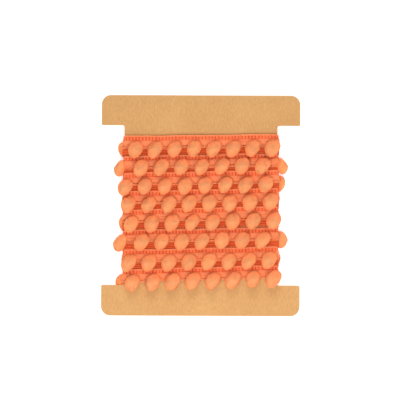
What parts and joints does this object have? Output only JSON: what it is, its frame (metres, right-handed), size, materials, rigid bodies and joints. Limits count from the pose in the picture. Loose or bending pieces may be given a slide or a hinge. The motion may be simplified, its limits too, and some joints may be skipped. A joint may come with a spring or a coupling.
{
  "type": "pompom fringe trim on card",
  "caption": "Length of small pompom fringe trim wound in flat rows round the narrow waist of a plain board card with wide rounded ends.",
  "frame": {"origin": "middle of the part's box, on the surface that it lies on", "axes": "+Z out of the card's face, +Y towards the card's top edge, +X to the right when the face is seen with its top up"},
  "size_m": [0.09, 0.1, 0.0134],
  "materials": {
    "kraft_board": "uncoated brown kraft board, matt, faintly mottled",
    "coral_yarn": "matt coral orange yarn, knitted header and cut pile pompoms"
  },
  "bodies": {
    "root": {"card": "kraft_board", "pompom_trim": "coral_yarn"}
  },
  "joints": []
}
